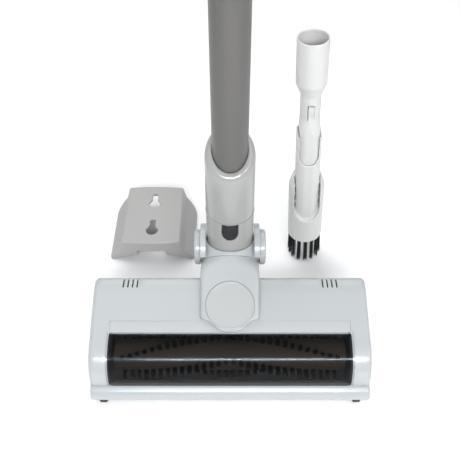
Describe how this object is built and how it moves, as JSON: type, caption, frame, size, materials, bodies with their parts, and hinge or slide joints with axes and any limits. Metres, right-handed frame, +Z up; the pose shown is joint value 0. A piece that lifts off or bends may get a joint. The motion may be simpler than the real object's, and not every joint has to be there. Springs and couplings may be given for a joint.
{
  "type": "cordless stick vacuum",
  "caption": "Upright cordless stick vacuum with a powered floor head, swivelling neck, folding wand, cyclone hand unit, wall bracket and crevice tool.",
  "frame": {"origin": "on the floor, straight below the wand's tilt axis, at the middle of the footprint", "axes": "+X to the machine's right as seen from the front, +Y to the back, +Z up along the parked wand"},
  "size_m": [0.269, 0.27, 1.1134],
  "materials": {
    "white_gloss": "gloss",
    "white_joint": "gloss",
    "white_matte": "satin",
    "bracket_grey": "matte",
    "window_smoke": "gloss",
    "lens_clear": "gloss",
    "badge_silver": "satin",
    "black_plastic": "satin",
    "wheel_black": "matte",
    "bristle_black": "matte",
    "roller_grey": "satin",
    "dark_plastic": "satin",
    "duct_grey": "satin",
    "housing_white": "gloss",
    "cup_clear": "gloss",
    "wand_grey": "satin",
    "mesh_steel": "satin",
    "motor_metal": "satin",
    "steel": "satin",
    "bronze": "satin",
    "belt_rubber": "matte",
    "pulley_cream": "satin",
    "board_green": "satin",
    "filter_cream": "matte",
    "red_button": "gloss",
    "cell_blue": "satin"
  },
  "bodies": {
    "head": {"head_chassis": "white_gloss", "top_cover": "white_gloss", "roller_window": "window_smoke", "front_lip": "white_gloss", "led_lenses": "lens_clear", "neck_fairing": "white_gloss", "badge_disc": "badge_silver", "air_duct": "dark_plastic", "brush_motor": "motor_metal", "drive_belt": "belt_rubber", "roller_bearings": "bronze", "head_board": "board_green", "sole_strip": "belt_rubber", "wheel_axles": "steel", "head_screws": "steel", "wall_bracket": "bracket_grey", "crevice_nozzle": "white_matte"},
    "roller": {"roller_core": "roller_grey", "bristle_rows": "bristle_black", "roller_pulley": "pulley_cream"},
    "motor_rotor": {"motor_pulley": "pulley_cream"},
    "front_wheel_left": {"front_wheel_left": "wheel_black"},
    "front_wheel_right": {"front_wheel_right": "wheel_black"},
    "rear_wheel_left": {"rear_wheel_left": "wheel_black"},
    "rear_wheel_right": {"rear_wheel_right": "wheel_black"},
    "yoke": {"yoke": "white_joint", "tilt_pins": "steel", "pivot_caps": "white_joint"},
    "wand": {"socket_base": "white_joint", "seam_ring": "white_joint", "wand_plug": "dark_plastic", "wand_collar": "white_joint", "wand_tube": "wand_grey", "wand_top_collar": "dark_plastic", "inlet_duct": "duct_grey", "dust_cup": "cup_clear", "cyclone_shroud": "mesh_steel", "cyclone_cone": "dark_plastic", "pre_filter": "filter_cream", "motor_housing": "housing_white", "suction_motor": "motor_metal", "motor_mounts": "belt_rubber", "exhaust_grille": "dark_plastic", "handle": "dark_plastic", "housing_screws": "steel"},
    "latch": {"latch_button": "black_plastic"},
    "wand_release": {"wand_release": "red_button"},
    "cup_flap": {"cup_flap": "dark_plastic", "flap_seal": "belt_rubber"},
    "cup_latch": {"cup_latch": "red_button"},
    "impeller": {"impeller": "pulley_cream"},
    "trigger": {"trigger": "red_button"},
    "mode_button": {"mode_button": "housing_white"},
    "battery": {"battery_case": "dark_plastic", "battery_cells": "cell_blue"},
    "battery_latch": {"battery_latch": "red_button"},
    "tool_sleeve": {"tool_sleeve": "white_matte", "tool_tufts": "bristle_black"},
    "tool_button": {"tool_button": "white_matte"}
  },
  "joints": [
    {"name": "roller_spin", "type": "hinge", "parent": "head", "child": "roller", "pos_m": [0, -0.095, 0.025], "axis": [1, 0, 0], "continuous": true},
    {"name": "motor_spin", "type": "hinge", "parent": "head", "child": "motor_rotor", "pos_m": [0, -0.05, 0.026], "axis": [1, 0, 0], "continuous": true},
    {"name": "front_wheel_left_spin", "type": "hinge", "parent": "head", "child": "front_wheel_left", "pos_m": [-0.1205, -0.1298, 0.005], "axis": [1, 0, 0], "continuous": true},
    {"name": "front_wheel_right_spin", "type": "hinge", "parent": "head", "child": "front_wheel_right", "pos_m": [0.1205, -0.1298, 0.005], "axis": [1, 0, 0], "continuous": true},
    {"name": "rear_wheel_left_spin", "type": "hinge", "parent": "head", "child": "rear_wheel_left", "pos_m": [-0.0255, -0.012, 0.012], "axis": [1, 0, 0], "continuous": true},
    {"name": "rear_wheel_right_spin", "type": "hinge", "parent": "head", "child": "rear_wheel_right", "pos_m": [0.0255, -0.012, 0.012], "axis": [1, 0, 0], "continuous": true},
    {"name": "neck_swivel", "type": "hinge", "parent": "head", "child": "yoke", "pos_m": [0, 0, 0.075], "axis": [0, 0.866, 0.5], "range_deg": [-40, 40]},
    {"name": "wand_tilt", "type": "hinge", "parent": "yoke", "child": "wand", "pos_m": [0, 0, 0.075], "axis": [-1, 0, 0], "range_deg": [0, 80]},
    {"name": "socket_latch_press", "type": "slide", "parent": "wand", "child": "latch", "axis": [0, 1, 0], "range_m": [0, 0.002], "stiffness_N_per_m": 300},
    {"name": "wand_release_press", "type": "slide", "parent": "wand", "child": "wand_release", "axis": [0, 1, 0], "range_m": [0, 0.0015], "stiffness_N_per_m": 300},
    {"name": "cup_flap_open", "type": "hinge", "parent": "wand", "child": "cup_flap", "pos_m": [0, -0.0288, 0.8645], "axis": [1, 0, 0], "range_deg": [0, 80]},
    {"name": "cup_latch_press", "type": "slide", "parent": "wand", "child": "cup_latch", "axis": [0, 0, -1], "range_m": [0, 0.003], "stiffness_N_per_m": 250},
    {"name": "impeller_spin", "type": "hinge", "parent": "wand", "child": "impeller", "pos_m": [0, -0.07, 1.0082], "axis": [0, 0, 1], "continuous": true},
    {"name": "trigger_press", "type": "slide", "parent": "wand", "child": "trigger", "axis": [0, 1, 0], "range_m": [0, 0.005], "stiffness_N_per_m": 200},
    {"name": "mode_button_press", "type": "slide", "parent": "wand", "child": "mode_button", "axis": [0, 0, -1], "range_m": [0, 0.0012], "stiffness_N_per_m": 400},
    {"name": "battery_slide", "type": "slide", "parent": "wand", "child": "battery", "axis": [0, 1, 0], "range_m": [0, 0.07]},
    {"name": "battery_latch_press", "type": "slide", "parent": "battery", "child": "battery_latch", "axis": [0, -1, 0], "range_m": [0, 0.0012], "stiffness_N_per_m": 300},
    {"name": "tool_sleeve_slide", "type": "slide", "parent": "head", "child": "tool_sleeve", "axis": [-0.0523, 0, 0.9986], "range_m": [0, 0.04]},
    {"name": "tool_button_press", "type": "slide", "parent": "head", "child": "tool_button", "axis": [0, 1, 0], "range_m": [0, 0.0008], "stiffness_N_per_m": 300}
  ],
  "couplings": [
    {"joint": "motor_spin", "follows": "roller_spin", "ratio": 2}
  ]
}
